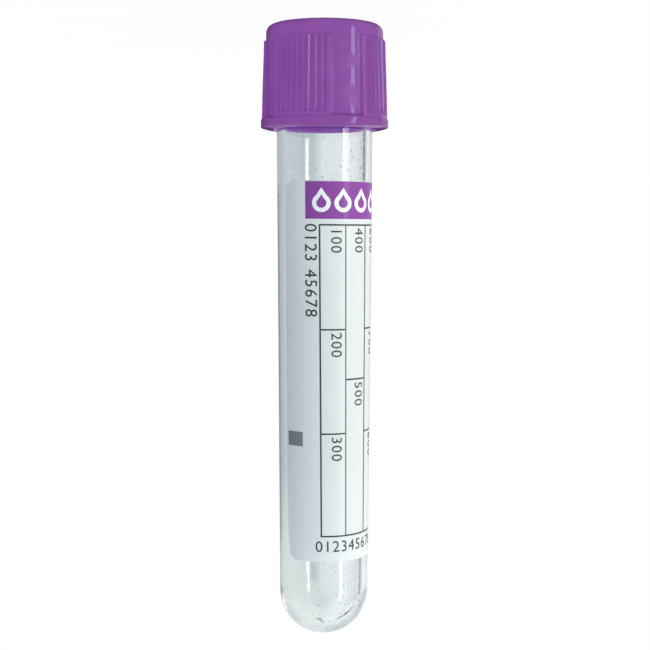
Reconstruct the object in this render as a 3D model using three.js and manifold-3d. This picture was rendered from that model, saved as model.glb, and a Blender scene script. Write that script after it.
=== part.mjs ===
// Evacuated blood collection tube: a clear round-bottomed tube with a paper label, closed by a
// rubber stopper that sits in a ribbed plastic cap. Millimetres and degrees.
//
// The round bottom can't stand, so the tube stands on the flat top of its cap: z = 0 is that top,
// and the heights below run up from it to the round bottom. The front of the label faces -Y, and
// angles about the axis are counted from -Y towards -X.
import * as THREE from 'three';
import { mergeVertices } from 'three/addons/utils/BufferGeometryUtils.js';
import Module from 'manifold-3d';

const wasm = await Module();
wasm.setup();

// Tube
const TUBE_LENGTH = 75;
const TUBE_RIM_RADIUS = 6.35;
const TUBE_END_RADIUS = 5.91;
const TUBE_WALL = 1.05;
const TUBE_END_WALL = 1.6;
const TUBE_RIM_CHAMFER = 0.2;

// Paper label
const LABEL_LENGTH = 49.95;
const LABEL_TO_TIP = 11.1;
const LABEL_THICKNESS = 0.12;
const LABEL_GAP = 0.03;
const LABEL_CORNER = 1.3;
const WINDOW_ANGLE = -79.5;
const WINDOW_WIDTH = 61;
const LABEL_SKEW = -3.6;

// Cap, outside
const CAP_HEIGHT = 13.6;
const CAP_ABOVE_RIM = 6.5;
const CROWN_RADIUS = 7.68;
const CROWN_FILLET = 1.05;
const CAP_DRAFT = 0.95;
const FLANGE_RADIUS = 8.42;
const FLANGE_HEIGHT = 1.35;
const FLANGE_FILLET = 0.35;
const FLANGE_TOP_CHAMFER = 0.15;

// Grip pads: raised sectors of the cap's side, each scored by a row of grooves
const PAD_COUNT = 4;
const PAD_START = 2;
const PAD_RAISE = 0.4;
const PAD_WIDTH = 62;
const PAD_ANGLE = -23.5;
const GROOVES_PER_PAD = 9;
const GROOVE_PITCH = 5.75;
const GROOVE_WIDTH = 2.6;
const GROOVE_DEPTH = 0.2;
const GROOVE_SIDE = 0.5;

// Cap, inside
const STOPPER_BORE_RADIUS = 6;
const BORE_CHAMFER = 0.15;
const COLLAR_THICKNESS = 0.8;
const COLLAR_TO_RIM = 0.1;
const COLLAR_CLEARANCE = 0.13;
const SKIRT_CLEARANCE = 0.45;

// Rubber stopper
const STOPPER_FLANGE_THICKNESS = 2.5;
const STOPPER_CLEARANCE = 0.1;
const SEAT_CLEARANCE = 0.08;
const PLUG_CLEARANCE = 0.08;
const PLUG_DEPTH = 5.6;
const PLUG_CHAMFER = 0.5;
const DISH_RADIUS = 3.3;
const DISH_DEPTH = 1.5;
const DISH_FLARE = 0.2;
const WELL_RADIUS = 3.2;
const WELL_DEPTH = 3.1;
const WELL_TAPER = 0.9;

// Ring that holds the stopper in the cap
const RING_RECESS = 0.6;
const RING_INNER_RADIUS = 4;
const RING_CLEARANCE = 0.06;
const RING_CHAMFER = 0.3;
const SNAP_BEAD = 0.25;
const SNAP_BEAD_HEIGHT = 0.8;

// Facets round the axis, and along a round edge
const TURNS = 48;
const CAP_TURNS = 64;
const END_STEPS = 8;
const FILLET_STEPS = 3;

// Heights and radii that follow from the sizes above
const rimZ = CAP_ABOVE_RIM;
const tipZ = rimZ + TUBE_LENGTH;
const roundEndZ = tipZ - TUBE_END_RADIUS;
const boreRadius = TUBE_RIM_RADIUS - TUBE_WALL;
const boreEndRadius = TUBE_END_RADIUS - TUBE_WALL;
const boreEndZ = tipZ - TUBE_END_WALL - boreEndRadius;
const plugRadius = boreRadius - PLUG_CLEARANCE;
const collarRadius = plugRadius + COLLAR_CLEARANCE;
const skirtRadius = TUBE_RIM_RADIUS + SKIRT_CLEARANCE;
const collarTopZ = rimZ - COLLAR_TO_RIM;
const collarBottomZ = collarTopZ - COLLAR_THICKNESS;
const flangeStartZ = CAP_HEIGHT - FLANGE_HEIGHT;
const stopperFlangeTopZ = collarBottomZ - SEAT_CLEARANCE;
const stopperFlangeZ = stopperFlangeTopZ - STOPPER_FLANGE_THICKNESS;
const ringEndZ = stopperFlangeZ - SEAT_CLEARANCE;
const beadZ = (RING_RECESS + ringEndZ) / 2;

const radians = THREE.MathUtils.degToRad;

// A direction across the axis, at an angle counted from the front
function across(angle) {
  return new THREE.Vector2(-Math.sin(radians(angle)), -Math.cos(radians(angle)));
}

// Points of a round edge in a profile of (radius, height), from one angle to another
function arc(radius, height, size, from, to, steps) {
  const points = [];
  for (let i = 0; i <= steps; i++) {
    const angle = radians(from + (to - from) * i / steps);
    points.push([radius + size * Math.cos(angle), height + size * Math.sin(angle)]);
  }
  return points;
}

// A three.js geometry as a solid that can be joined and cut
function solid(geometry) {
  const bare = new THREE.BufferGeometry();
  bare.setAttribute('position', geometry.getAttribute('position'));
  bare.setIndex(geometry.getIndex());
  const merged = mergeVertices(bare, 1e-5);
  const vertProperties = new Float32Array(merged.getAttribute('position').array);
  const triVerts = new Uint32Array(merged.getIndex().array);
  return new wasm.Manifold(new wasm.Mesh({ numProp: 3, vertProperties, triVerts }));
}

// A profile of (radius, height) turned about the axis. It starts and ends on the axis, or closes
function turned(profile, turns) {
  const points = profile.map(([radius, height]) => new THREE.Vector2(radius, height));
  return solid(new THREE.LatheGeometry(points, turns).rotateX(Math.PI / 2));
}

function named(name, shape, color, roughness, extra = {}) {
  const { vertProperties, triVerts } = shape.getMesh();
  const geometry = new THREE.BufferGeometry();
  geometry.setAttribute('position', new THREE.BufferAttribute(vertProperties, 3));
  geometry.setIndex(new THREE.BufferAttribute(triVerts, 1));
  const material = new THREE.MeshStandardMaterial({ color, roughness, metalness: 0, ...extra });
  const mesh = new THREE.Mesh(geometry, material);
  mesh.name = name;
  return mesh;
}

// The outer radius of the tube, which narrows evenly from its rim to its round end
function tubeRadiusAt(z) {
  return THREE.MathUtils.mapLinear(z, rimZ, roundEndZ, TUBE_RIM_RADIUS, TUBE_END_RADIUS);
}

function makeTube() {
  const outside = [
    ...arc(0, roundEndZ, TUBE_END_RADIUS, 90, 0, END_STEPS),
    [TUBE_RIM_RADIUS, rimZ + TUBE_RIM_CHAMFER],
    [TUBE_RIM_RADIUS - TUBE_RIM_CHAMFER, rimZ],
  ];
  const inside = [
    [boreRadius + TUBE_RIM_CHAMFER, rimZ],
    [boreRadius, rimZ + TUBE_RIM_CHAMFER],
    ...arc(0, boreEndZ, boreEndRadius, 0, 90, END_STEPS),
  ];
  const profile = [...outside, ...inside];
  profile[0][0] = 0;
  profile.at(-1)[0] = 0;
  return turned(profile.reverse(), TURNS);
}

// The label leaves a strip of the tube clear. The strip is cut from a whole sleeve by a prism that
// points out through the wall, and it flares at both ends so that the label's corners are round
function labelWindow(startZ, endZ) {
  const radius = tubeRadiusAt((startZ + endZ) / 2);
  const half = radius * Math.sin(radians(WINDOW_WIDTH / 2));
  const lean = radius * Math.sin(radians(LABEL_SKEW / 2));
  const past = 1;
  const strip = new THREE.Shape();
  strip.moveTo(-half - LABEL_CORNER - lean, startZ - past);
  strip.lineTo(-half - LABEL_CORNER - lean, startZ);
  strip.quadraticCurveTo(-half - lean, startZ, -half - lean, startZ + LABEL_CORNER);
  strip.lineTo(-half + lean, endZ - LABEL_CORNER);
  strip.quadraticCurveTo(-half + lean, endZ, -half - LABEL_CORNER + lean, endZ);
  strip.lineTo(-half - LABEL_CORNER + lean, endZ + past);
  strip.lineTo(half + LABEL_CORNER + lean, endZ + past);
  strip.lineTo(half + LABEL_CORNER + lean, endZ);
  strip.quadraticCurveTo(half + lean, endZ, half + lean, endZ - LABEL_CORNER);
  strip.lineTo(half - lean, startZ + LABEL_CORNER);
  strip.quadraticCurveTo(half - lean, startZ, half + LABEL_CORNER - lean, startZ);
  strip.lineTo(half + LABEL_CORNER - lean, startZ - past);
  const depth = TUBE_RIM_RADIUS + past;
  const prism = new THREE.ExtrudeGeometry(strip, { depth, bevelEnabled: false, curveSegments: 5 });
  prism.rotateX(Math.PI / 2);
  prism.rotateZ(-radians(WINDOW_ANGLE));
  return solid(prism);
}

function makeLabel() {
  const endZ = tipZ - LABEL_TO_TIP;
  const startZ = endZ - LABEL_LENGTH;
  const innerStart = tubeRadiusAt(startZ) + LABEL_GAP;
  const innerEnd = tubeRadiusAt(endZ) + LABEL_GAP;
  const sleeve = turned([
    [innerStart, startZ],
    [innerStart + LABEL_THICKNESS, startZ],
    [innerEnd + LABEL_THICKNESS, endZ],
    [innerEnd, endZ],
    [innerStart, startZ],
  ], TURNS);
  return sleeve.subtract(labelWindow(startZ, endZ));
}

// The cap's outside without its pads, solid to the axis
function capBody() {
  const flangeSide = CROWN_RADIUS + flangeStartZ * Math.tan(radians(CAP_DRAFT));
  const filletRadius = CROWN_RADIUS - CROWN_FILLET;
  const flangeEdge = FLANGE_RADIUS - FLANGE_FILLET;
  return turned([
    [0, 0],
    ...arc(filletRadius, CROWN_FILLET, CROWN_FILLET, -90, 0, FILLET_STEPS),
    [flangeSide, flangeStartZ],
    [FLANGE_RADIUS - FLANGE_TOP_CHAMFER, flangeStartZ],
    [FLANGE_RADIUS, flangeStartZ + FLANGE_TOP_CHAMFER],
    ...arc(flangeEdge, CAP_HEIGHT - FLANGE_FILLET, FLANGE_FILLET, 0, 90, FILLET_STEPS),
    [0, CAP_HEIGHT],
  ], CAP_TURNS);
}

// The pads, drawn as one toothed disc that lies under the cap's surface between them
function padOutline() {
  const padRadius = CROWN_RADIUS + PAD_RAISE;
  const grooveRadius = padRadius - GROOVE_DEPTH;
  const hiddenRadius = CROWN_RADIUS - PAD_RAISE;
  const outline = [];
  const add = (radius, angle) => outline.push(across(angle).multiplyScalar(radius));
  for (let pad = 0; pad < PAD_COUNT; pad++) {
    const middle = PAD_ANGLE + 360 * pad / PAD_COUNT;
    const flat = (PAD_WIDTH - (GROOVES_PER_PAD - 1) * GROOVE_PITCH - GROOVE_WIDTH) / 2;
    add(hiddenRadius, middle - PAD_WIDTH / 2);
    add(padRadius, middle - PAD_WIDTH / 2);
    add(padRadius, middle - PAD_WIDTH / 2 + flat / 2);
    for (let groove = 0; groove < GROOVES_PER_PAD; groove++) {
      const centre = middle + (groove - (GROOVES_PER_PAD - 1) / 2) * GROOVE_PITCH;
      add(padRadius, centre - GROOVE_WIDTH / 2);
      add(grooveRadius, centre - GROOVE_WIDTH / 2 + GROOVE_SIDE);
      add(grooveRadius, centre + GROOVE_WIDTH / 2 - GROOVE_SIDE);
      add(padRadius, centre + GROOVE_WIDTH / 2);
    }
    add(padRadius, middle + PAD_WIDTH / 2 - flat / 2);
    add(padRadius, middle + PAD_WIDTH / 2);
    add(hiddenRadius, middle + PAD_WIDTH / 2);
  }
  return outline;
}

function gripPads() {
  const sunk = FLANGE_HEIGHT / 2;
  const depth = flangeStartZ + sunk - PAD_START;
  const disc = new THREE.ExtrudeGeometry(new THREE.Shape(padOutline()), { depth, bevelEnabled: false });
  const position = disc.getAttribute('position');
  for (let i = 0; i < position.count; i++) {
    const growth = 1 + position.getZ(i) * Math.tan(radians(CAP_DRAFT)) / CROWN_RADIUS;
    position.setX(i, position.getX(i) * growth);
    position.setY(i, position.getY(i) * growth);
  }
  return solid(disc.translate(0, 0, PAD_START));
}

// Everything that is open inside the cap: the ring's and stopper's bore from the top, the hole in
// the collar that lifts the stopper's flange, and the skirt's bore that the tube's rim fills
function capBore() {
  const past = 1;
  const groove = STOPPER_BORE_RADIUS + SNAP_BEAD;
  return turned([
    [0, -past],
    [STOPPER_BORE_RADIUS + BORE_CHAMFER, -past],
    [STOPPER_BORE_RADIUS + BORE_CHAMFER, 0],
    [STOPPER_BORE_RADIUS, BORE_CHAMFER],
    [STOPPER_BORE_RADIUS, beadZ - SNAP_BEAD_HEIGHT / 2],
    [groove, beadZ],
    [STOPPER_BORE_RADIUS, beadZ + SNAP_BEAD_HEIGHT / 2],
    [STOPPER_BORE_RADIUS, collarBottomZ],
    [collarRadius, collarBottomZ],
    [collarRadius, collarTopZ],
    [skirtRadius, collarTopZ],
    [skirtRadius, CAP_HEIGHT + past],
    [0, CAP_HEIGHT + past],
  ], CAP_TURNS);
}

function makeCapShell() {
  return capBody().add(gripPads()).subtract(capBore());
}

function makeRetainingRing() {
  const outer = STOPPER_BORE_RADIUS - RING_CLEARANCE;
  return turned([
    [RING_INNER_RADIUS, RING_RECESS + RING_CHAMFER],
    [RING_INNER_RADIUS + RING_CHAMFER, RING_RECESS],
    [outer - RING_CHAMFER, RING_RECESS],
    [outer, RING_RECESS + RING_CHAMFER],
    [outer, beadZ - SNAP_BEAD_HEIGHT / 2],
    [outer + SNAP_BEAD, beadZ],
    [outer, beadZ + SNAP_BEAD_HEIGHT / 2],
    [outer, ringEndZ],
    [RING_INNER_RADIUS, ringEndZ],
    [RING_INNER_RADIUS, RING_RECESS + RING_CHAMFER],
  ], CAP_TURNS);
}

// A flange between the ring and the collar, a plug in the tube's bore, a dish where the needle
// goes in and a well in the plug's end, which leaves a thinner wall between them to pierce
function makeStopper() {
  const flangeRadius = STOPPER_BORE_RADIUS - STOPPER_CLEARANCE;
  const plugEndZ = rimZ + PLUG_DEPTH;
  return turned([
    [0, stopperFlangeZ + DISH_DEPTH],
    [DISH_RADIUS - DISH_FLARE, stopperFlangeZ + DISH_DEPTH],
    [DISH_RADIUS, stopperFlangeZ],
    [flangeRadius, stopperFlangeZ],
    [flangeRadius, stopperFlangeTopZ],
    [plugRadius, stopperFlangeTopZ],
    [plugRadius, plugEndZ - PLUG_CHAMFER],
    [plugRadius - PLUG_CHAMFER, plugEndZ],
    [WELL_RADIUS, plugEndZ],
    [WELL_RADIUS - WELL_TAPER, plugEndZ - WELL_DEPTH],
    [0, plugEndZ - WELL_DEPTH],
  ], TURNS);
}

const group = new THREE.Group();
group.add(named('cap_shell', makeCapShell(), 0x7d4796, 0.38));
group.add(named('retaining_ring', makeRetainingRing(), 0x74418c, 0.42));
group.add(named('rubber_stopper', makeStopper(), 0x8f8c96, 0.75));
group.add(named('tube', makeTube(), 0xdfe9e8, 0.06, { transparent: true, opacity: 0.3 }));
group.add(named('paper_label', makeLabel(), 0xe6ebf0, 0.55));

export default group;
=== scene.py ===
import math
import random

import bmesh
import bpy
from mathutils import Matrix, Quaternion, Vector


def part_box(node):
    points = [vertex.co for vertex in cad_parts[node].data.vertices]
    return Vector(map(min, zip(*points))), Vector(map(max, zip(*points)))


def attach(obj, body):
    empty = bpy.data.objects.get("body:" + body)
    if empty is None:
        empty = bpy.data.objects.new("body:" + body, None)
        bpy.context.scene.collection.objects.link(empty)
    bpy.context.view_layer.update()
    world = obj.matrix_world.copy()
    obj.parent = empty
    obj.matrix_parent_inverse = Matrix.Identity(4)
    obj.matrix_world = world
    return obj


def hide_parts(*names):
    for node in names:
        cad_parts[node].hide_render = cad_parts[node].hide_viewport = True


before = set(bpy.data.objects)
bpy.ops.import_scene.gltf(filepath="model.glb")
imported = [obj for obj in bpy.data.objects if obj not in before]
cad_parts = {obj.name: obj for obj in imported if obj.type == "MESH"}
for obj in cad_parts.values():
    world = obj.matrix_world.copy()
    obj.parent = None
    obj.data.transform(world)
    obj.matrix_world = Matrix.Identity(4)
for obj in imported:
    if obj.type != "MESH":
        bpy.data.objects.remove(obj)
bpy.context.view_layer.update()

# The tube stands head down: z = 0 is the cap's flat top, and the round bottom points up. The front
# of the label faces -Y. Angles about the axis are counted from -Y towards -X, in degrees. Sizes
# are in millimetres until they reach Blender, which takes metres.
MM = 0.001

# Camera: level with a point above the cap, looking slightly up, and turned over so that the cap
# is at the top of the picture
CAMERA_HEIGHT = 25.27
CAMERA_DISTANCE = 170.0
CAMERA_ASIDE = -0.116
CAMERA_PITCH = 4.8
CAMERA_ROLL = 0.11
CAMERA_LENS = 70.4

# How finely round forms are cut
TURNS = 160
HIDDEN_TURNS = 120
ROUND_END_STEPS = 28
ROUNDING_STEPS = 4
CROWN_STEPS = 8
SHEET_STEP = 0.45
SHEET_CORNER_STEPS = 8

# Fine form of the pieces, where the frame doesn't give it: the tube
TUBE_WALL = 1.05
TUBE_END_WALL = 1.6
END_RADIUS = 5.91
LIP_HEIGHT = 0.3
LIP_ROUNDING = 0.22

# The stopper: its collar, its plug with a hollow, and the dish and pit where the needle goes in
PLUG_CLEARANCE = 0.08
PLUG_CHAMFER = 0.5
COLLAR_THICKNESS = 2.5
DISH_RADIUS = 3.3
DISH_FLOOR_RADIUS = 2.9
DISH_EDGE_DEPTH = 1.05
DISH_DEPTH = 1.15
PIT_RADIUS = 1.5
PIT_FLOOR_RADIUS = 1.1
PIT_DEPTH = 1.5
HOLLOW_RADIUS = 3.2
HOLLOW_FLOOR_RADIUS = 2.3
HOLLOW_DEPTH = 3.1

# The ring
RING_HOLE_RADIUS = 4.0
RING_CHAMFER = 0.4
RING_CHAMFER_HEIGHT = 0.3
RING_BEAD = 0.25
RING_BEAD_HALF_HEIGHT = 0.4

# The cap's side: four pads that stand out, each with grooves, between the crown and the flange.
# A pad stands out by PAD_RAISE, at its start less by PAD_TAPER, and a groove's middle starts later
# by GROOVE_BOW. Cuts, rows and steps only say how finely it is cut.
CROWN_RADIUS = 7.68
CROWN_FILLET = 1.05
CAP_DRAFT = math.tan(math.radians(0.95))
PAD_START = 2.0
PAD_ROOT = PAD_START - 0.1
PAD_RISE = (-0.02, 0.16)
PAD_RAISE = 0.4
PAD_TAPER = 0.12
PAD_TAPER_END = 10.5
PAD_WIDTH = 62.0
PAD_EDGE = 1.5
PAD_EDGE_CUTS = (0, 0.2, 0.4, 0.6, 0.8, 1.0, 2.2, 3.2)
PAD_MIDDLES = (-23.5, 66.5, 156.5, 246.5)
PAD_ROWS = (2.6, 3.6, 5.0, 7.0, 9.5, 11.2)
PAD_RISE_STEP = 0.03
GROOVES = 9
GROOVE_PITCH = 5.75
GROOVE_CUTS = 12
GAP_CUTS = 12
GROOVE_DEPTH = 0.3
GROOVE_POWER = 1.3
GROOVE_BOW = 0.14
GROOVE_RUN_OUT = 0.3
GROOVE_END_STEP = 0.04
GROOVE_TO_FLANGE = 0.35
COLUMN_GAP = 0.12
FLANGE_HEIGHT = 1.35
FLANGE_BEVEL = 0.75

# The cap's inside
SKIRT_CLEARANCE = 0.45
SKIRT_CHAMFER = 0.5
SKIRT_CHAMFER_HEIGHT = 0.25
SEAT_CLEARANCE = 0.1
SEAT_THICKNESS = 0.8
SEAT_HOLE_CLEARANCE = 0.13
STOPPER_CLEARANCE = 0.1
MOUTH_EDGE = 0.4

# The label: its edges in degrees, and the heights of its faces over the tube
LABEL_LEFT = -50.4
LABEL_RIGHT = 250.0
LABEL_SKEW = -0.4
LABEL_CORNER = 1.3
PAPER_UNDER = 0.008
PAPER_OVER = 0.06
PAPER_SLOPE = 0.03
INK = 0.012
INK_UNDER = PAPER_OVER - INK
INK_OVER = PAPER_OVER + INK

# The dried additive: the seed and the form of its specks, and how many there are
SPECK_SEED = 11
SPECK_SIDES = 7
SPECK_UNEVEN = (0.7, 1.2)
SPECK_FOOT = -0.006
SPECK_UNDER = -0.012
SPECK_LEAST = 0.03
SCATTERED = 900
STREAK = 400

# Edges sharper than this stay sharp, in degrees: as a rule, on tube and cap, and on specks
SHARP = 50
SHARP_SHELL = 60
SHARP_SPECK = 30


def box_mm(node):
    """Lowest and highest height of a CAD node, and its radius about the axis, in millimetres."""
    low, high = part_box(node)
    return low.z / MM, high.z / MM, high.x / MM


_, CAP_HIGH, FLANGE_RADIUS = box_mm("cap_shell")
RIM, TIP, RIM_RADIUS = box_mm("tube")
LABEL_LOW, LABEL_HIGH, _ = box_mm("paper_label")
RING_LOW, RING_HIGH, RING_BEAD_RADIUS = box_mm("retaining_ring")
STOPPER_LOW, STOPPER_HIGH, STOPPER_RADIUS = box_mm("rubber_stopper")

# What follows from these. ROUND_END and BORE_END_CENTRE are the heights of the centres of the
# round bottom, outside and in the bore, and SLOPE_START is where the flange begins to slope out.
ROUND_END = TIP - END_RADIUS
BORE_END = END_RADIUS - TUBE_WALL
BORE_END_CENTRE = TIP - TUBE_END_WALL - BORE_END
PLUG_RADIUS = RIM_RADIUS - TUBE_WALL - PLUG_CLEARANCE
SKIRT_RADIUS = RIM_RADIUS + SKIRT_CLEARANCE
FLANGE_START = CAP_HIGH - FLANGE_HEIGHT
GROOVE_END = FLANGE_START - GROOVE_TO_FLANGE
SLOPE_START = GROOVE_END + 0.05
GROOVE_ANGLES = [
    middle + (groove - (GROOVES - 1) / 2) * GROOVE_PITCH
    for middle in PAD_MIDDLES
    for groove in range(GROOVES)
]


def smooth(low, high, x):
    """0 below low, 1 above high, and a smooth rise between."""
    t = min(1.0, max(0.0, (x - low) / (high - low)))
    return t * t * (3 - 2 * t)


def turn_between(a, b):
    """How far apart two angles about the axis are, in degrees."""
    return abs((a - b + 180) % 360 - 180)


def tube_radius(z):
    """Outer radius of the tube at a height."""
    share = (z - RIM) / (ROUND_END - RIM)
    return RIM_RADIUS + (END_RADIUS - RIM_RADIUS) * share


def cap_side(z):
    """Radius of the cap's side at a height, without its pads."""
    return CROWN_RADIUS + CAP_DRAFT * z


def around(radius, angle, z):
    """A point in metres at a radius and height in millimetres and an angle in degrees."""
    a = math.radians(angle)
    return Vector((-radius * math.sin(a), -radius * math.cos(a), z)) * MM


# ------------------------------ camera


def add_camera():
    data = bpy.data.cameras.new("camera")
    data.lens = CAMERA_LENS
    data.clip_start = 0.01
    data.clip_end = 20
    camera = bpy.data.objects.new("camera", data)
    bpy.context.scene.collection.objects.link(camera)
    pitch = math.radians(CAMERA_PITCH)
    ahead = Vector((0, math.cos(pitch), math.sin(pitch)))
    roll = math.radians(CAMERA_ROLL)
    level_up = Vector((0, math.sin(pitch), -math.cos(pitch)))
    up = level_up * math.cos(roll) - ahead.cross(level_up) * math.sin(roll)
    right = ahead.cross(up)
    turn = Matrix((right, up, -ahead)).transposed().to_4x4()
    place = Vector((CAMERA_ASIDE, -CAMERA_DISTANCE, CAMERA_HEIGHT)) * MM
    camera.matrix_world = Matrix.Translation(place) @ turn
    bpy.context.scene.camera = camera


add_camera()

# ------------------------------ mesh helpers


def finish_mesh(name, bm, sharp=SHARP):
    """A piece from a bmesh, smooth but for edges sharper than an angle."""
    bmesh.ops.recalc_face_normals(bm, faces=bm.faces)
    mesh = bpy.data.meshes.new(name)
    bm.to_mesh(mesh)
    bm.free()
    mesh.shade_smooth()
    mesh.set_sharp_from_angle(angle=math.radians(sharp))
    piece = bpy.data.objects.new(name, mesh)
    bpy.context.scene.collection.objects.link(piece)
    return piece


def rounded(corners):
    """A profile from corners (radius, height, size of the rounding)."""
    points = []
    last = len(corners) - 1
    for i, (r, z, size) in enumerate(corners):
        here = Vector((r, z))
        if size == 0 or i in (0, last):
            points.append(here)
            continue
        before = Vector(corners[i - 1][:2]) - here
        after = Vector(corners[i + 1][:2]) - here
        start = here + before.normalized() * min(size, before.length / 2)
        end = here + after.normalized() * min(size, after.length / 2)
        for step in range(ROUNDING_STEPS + 1):
            t = step / ROUNDING_STEPS
            points.append(start * (1 - t) ** 2 + here * 2 * t * (1 - t) + end * t * t)
    return [(p.x, p.y) for p in points]


def arc(radius, height, size, start, end, steps):
    """Points of a profile on an arc about (radius, height), from one angle to another."""
    angles = [math.radians(start + (end - start) * i / steps) for i in range(steps + 1)]
    return [(radius + size * math.cos(a), height + size * math.sin(a)) for a in angles]


def join_rows(bm, a, b):
    """Faces between two rings of vertices, either of which may be one point on the axis."""
    count = max(len(a), len(b))
    for k in range(count):
        n = (k + 1) % count
        if len(a) == 1:
            bm.faces.new((a[0], b[k], b[n]))
        elif len(b) == 1:
            bm.faces.new((a[k], a[n], b[0]))
        else:
            bm.faces.new((a[k], a[n], b[n], b[k]))


def turned(name, profile, closed=False, turns=HIDDEN_TURNS, sharp=SHARP):
    """A piece turned about the axis. A point of its profile on the axis becomes one vertex."""
    bm = bmesh.new()
    rows = []
    for r, z in profile:
        if r < 1e-6:
            rows.append([bm.verts.new((0, 0, z * MM))])
        else:
            rows.append([bm.verts.new(around(r, 360 * k / turns, z)) for k in range(turns)])
    pairs = list(zip(rows, rows[1:]))
    if closed:
        pairs.append((rows[-1], rows[0]))
    for a, b in pairs:
        join_rows(bm, a, b)
    return finish_mesh(name, bm, sharp)


# ------------------------------ tube, stopper and ring


def make_tube():
    """One profile from the tip down the outside, round the rim and up the bore."""
    rim_inner = RIM_RADIUS - TUBE_WALL
    outside = arc(0, ROUND_END, END_RADIUS, 90, 0, ROUND_END_STEPS)
    lip = [
        (RIM_RADIUS, RIM + LIP_HEIGHT, 0),
        (RIM_RADIUS, RIM, LIP_ROUNDING),
        (rim_inner, RIM, LIP_ROUNDING),
        (rim_inner, RIM + LIP_HEIGHT, 0),
    ]
    inside = arc(0, BORE_END_CENTRE, BORE_END, 0, 90, ROUND_END_STEPS)
    profile = outside + rounded(lip) + inside
    # Both arcs end on the axis exactly
    profile[0] = (0, TIP)
    profile[-1] = (0, TIP - TUBE_END_WALL)
    return turned("tube_clear", profile, turns=TURNS, sharp=SHARP_SHELL)


def make_stopper():
    """From the pit and dish at the cap's top over the collar and plug to the hollow inside."""
    low, high = STOPPER_LOW, STOPPER_HIGH
    collar = low + COLLAR_THICKNESS
    corners = [
        (0, low + PIT_DEPTH, 0),
        (PIT_FLOOR_RADIUS, low + PIT_DEPTH, 0.3),
        (PIT_RADIUS, low + DISH_DEPTH, 0.3),
        (DISH_FLOOR_RADIUS, low + DISH_EDGE_DEPTH, 0.4),
        (DISH_RADIUS, low, 0.25),
        (STOPPER_RADIUS, low, 0.3),
        (STOPPER_RADIUS, collar, 0.25),
        (PLUG_RADIUS, collar, 0.1),
        (PLUG_RADIUS, high - PLUG_CHAMFER, 0.3),
        (PLUG_RADIUS - PLUG_CHAMFER, high, 0.3),
        (HOLLOW_RADIUS, high, 0.3),
        (HOLLOW_FLOOR_RADIUS, high - HOLLOW_DEPTH, 0.6),
        (0, high - HOLLOW_DEPTH, 0),
    ]
    return turned("stopper_fine", rounded(corners))


def make_ring():
    """A ring with a chamfered hole and a bead around it that snaps into the cap."""
    outer = RING_BEAD_RADIUS - RING_BEAD
    bead = (RING_LOW + RING_HIGH) / 2
    corners = [
        (RING_HOLE_RADIUS, RING_HIGH, 0),
        (RING_HOLE_RADIUS, RING_LOW + RING_CHAMFER_HEIGHT, 0.3),
        (RING_HOLE_RADIUS + RING_CHAMFER, RING_LOW, 0.3),
        (outer, RING_LOW, 0.3),
        (outer, bead - RING_BEAD_HALF_HEIGHT, 0.1),
        (RING_BEAD_RADIUS, bead, 0.15),
        (outer, bead + RING_BEAD_HALF_HEIGHT, 0.1),
        (outer, RING_HIGH, 0),
    ]
    return turned("ring_fine", rounded(corners), closed=True)


# ------------------------------ cap


def cap_columns():
    """Angles at which the cap's side is cut, close together at the edges of pads and grooves."""
    half = GROOVE_CUTS // 2
    angles = []
    for centre in GROOVE_ANGLES:
        angles += [centre + GROOVE_PITCH * k / GROOVE_CUTS for k in range(-half, half)]
    for middle in PAD_MIDDLES:
        for side in (-1, 1):
            edge = middle + side * PAD_WIDTH / 2
            angles += [edge - side * PAD_EDGE * k for k in PAD_EDGE_CUTS]
        gap = 90 - PAD_WIDTH
        angles += [middle + PAD_WIDTH / 2 + gap * k / GAP_CUTS for k in range(1, GAP_CUTS)]
    angles = sorted(a % 360 for a in angles)
    kept = [angles[0]]
    for a in angles[1:]:
        if a - kept[-1] > COLUMN_GAP:
            kept.append(a)
    return kept


def pad_lift(angle, z):
    """How far the cap's surface stands out at an angle and height, by its pads and grooves."""
    aside = min(turn_between(angle, middle) for middle in PAD_MIDDLES)
    sides = 1 - smooth(PAD_WIDTH / 2 - PAD_EDGE, PAD_WIDTH / 2, aside)
    off = min(turn_between(angle, centre) for centre in GROOVE_ANGLES)
    share = min(1.0, off / (GROOVE_PITCH / 2))
    start = PAD_START + GROOVE_BOW * (1 - share) ** 2
    end = smooth(start + PAD_RISE[0], start + PAD_RISE[1], z)
    groove = 1 - share**GROOVE_POWER
    groove *= 1 - smooth(GROOVE_END - GROOVE_RUN_OUT, GROOVE_END, z)
    raised = PAD_RAISE - PAD_TAPER * (1 - smooth(PAD_START, PAD_TAPER_END, z))
    return end * (raised * sides - GROOVE_DEPTH * groove)


def cap_outside():
    """Rows of (radius, height) up the cap's outside, from its flat top to the skirt's edge. They
    stand close together where the pads rise and where the grooves end."""
    crown_centre = cap_side(CROWN_FILLET) - CROWN_FILLET
    crown = arc(crown_centre, CROWN_FILLET, CROWN_FILLET, -90, 0, CROWN_STEPS)
    heights = [CROWN_FILLET + 0.04, PAD_ROOT]
    heights += [PAD_START + PAD_RISE_STEP * k for k in range(-1, 13)]
    heights += PAD_ROWS
    heights += [GROOVE_END + GROOVE_END_STEP * k for k in range(-6, 2)]
    side = [(cap_side(z), z) for z in heights]
    foot = cap_side(FLANGE_START)
    flange = rounded([
        (foot, FLANGE_START - 0.28, 0),
        (foot, FLANGE_START - 0.2, 0.07),
        (FLANGE_RADIUS, FLANGE_START + 0.06, 0.16),
        (FLANGE_RADIUS, CAP_HIGH - 0.22, 0.14),
        (FLANGE_RADIUS - FLANGE_BEVEL, CAP_HIGH, 0.08),
        (FLANGE_RADIUS - FLANGE_BEVEL - 0.1, CAP_HIGH, 0),
    ])
    return crown + side + flange


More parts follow.
